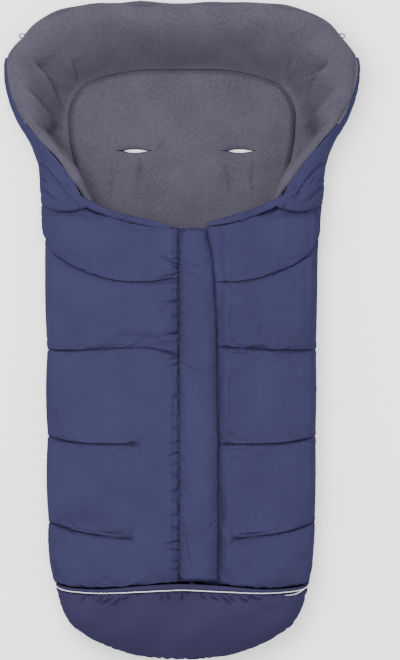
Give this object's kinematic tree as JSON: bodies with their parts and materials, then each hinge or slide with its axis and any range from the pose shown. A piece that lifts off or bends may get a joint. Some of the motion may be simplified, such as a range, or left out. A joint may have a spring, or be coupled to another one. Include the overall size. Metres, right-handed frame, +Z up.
{
  "type": "stroller footmuff",
  "caption": "Quilted pushchair footmuff lying on its back: fleece-lined hood with a rolled rim, two zipped front panels, a storm flap and a foot pocket.",
  "frame": {"origin": "bottom centre of the bounding box, on the face that lies on the seat", "axes": "+X across, +Y from the foot towards the head, +Z up out of the front"},
  "size_m": [0.514, 0.955, 0.1108],
  "materials": {
    "quilted_shell": "water-repellent woven polyester, low sheen, puckered at the seams",
    "foot_shell": null,
    "fleece": "brushed polyester fleece, matt, short nap",
    "wadding": "hollow-fibre wadding, hidden",
    "reflective_piping": "woven piping with glass-bead reflective face",
    "elastic_cord": "braided elastic",
    "zip_tape": "woven zip tape",
    "zip_coil": "moulded nylon coil",
    "zip_metal": "die-cast, enamelled"
  },
  "bodies": {
    "root": {"back_outer": "quilted_shell", "back_wadding": "wadding", "back_lining": "fleece", "slot_facing_left_shoulder": "fleece", "slot_facing_right_shoulder": "fleece", "slot_facing_left_hip": "fleece", "slot_facing_right_hip": "fleece", "slot_facing_crotch": "fleece", "side_outer": "quilted_shell", "side_wadding": "wadding", "side_lining": "fleece", "hood_outer": "quilted_shell", "hood_wadding": "wadding", "hood_lining": "fleece", "rim_wadding": "wadding", "hood_elastic": "elastic_cord", "rim_loop_left": "elastic_cord", "rim_loop_right": "elastic_cord", "foot_pocket": "foot_shell", "foot_wadding": "wadding", "foot_lining": "fleece", "foot_pocket_hem": "foot_shell", "reflective_piping": "reflective_piping", "zip_bottom_stop": "zip_metal"},
    "left_front": {"left_panel_outer": "quilted_shell", "left_panel_wadding": "wadding", "left_panel_lining": "fleece", "left_collar": "quilted_shell", "zip_tape_left": "zip_tape", "zip_coil_left": "zip_coil", "zip_top_stop_left": "zip_metal"},
    "right_front": {"right_panel_outer": "quilted_shell", "right_panel_wadding": "wadding", "right_panel_lining": "fleece", "right_collar": "quilted_shell", "zip_tape_right": "zip_tape", "zip_coil_right": "zip_coil", "zip_top_stop_right": "zip_metal"},
    "flap": {"storm_flap": "quilted_shell", "storm_flap_facing": "quilted_shell"},
    "slider": {"zip_slider": "zip_metal"},
    "puller": {"zip_puller": "zip_metal"}
  },
  "joints": [
    {"name": "left_front_opening", "type": "hinge", "parent": "root", "child": "left_front", "pos_m": [-0.2038, 0.1845, 0.04515], "axis": [0.0181, -0.9998, 0], "range_deg": [0, 150]},
    {"name": "right_front_opening", "type": "hinge", "parent": "root", "child": "right_front", "pos_m": [0.2038, 0.1845, 0.04515], "axis": [0.0181, 0.9998, 0], "range_deg": [0, 150], "deforming": ["storm_flap", "storm_flap_facing"]},
    {"name": "storm_flap_lift", "type": "hinge", "parent": "left_front", "child": "flap", "pos_m": [-0.00425, -0.1065, 0.1031], "axis": [0, -1, 0], "range_deg": [0, 140]},
    {"name": "zip_slide", "type": "slide", "parent": "left_front", "child": "slider", "axis": [0, -1, 0], "range_m": [0, 0.4945]},
    {"name": "zip_puller_swing", "type": "hinge", "parent": "slider", "child": "puller", "pos_m": [0.0145, 0.1467, 0.1003], "axis": [-1, 0, 0], "range_deg": [0, 160], "deforming": ["storm_flap", "storm_flap_facing"]}
  ]
}
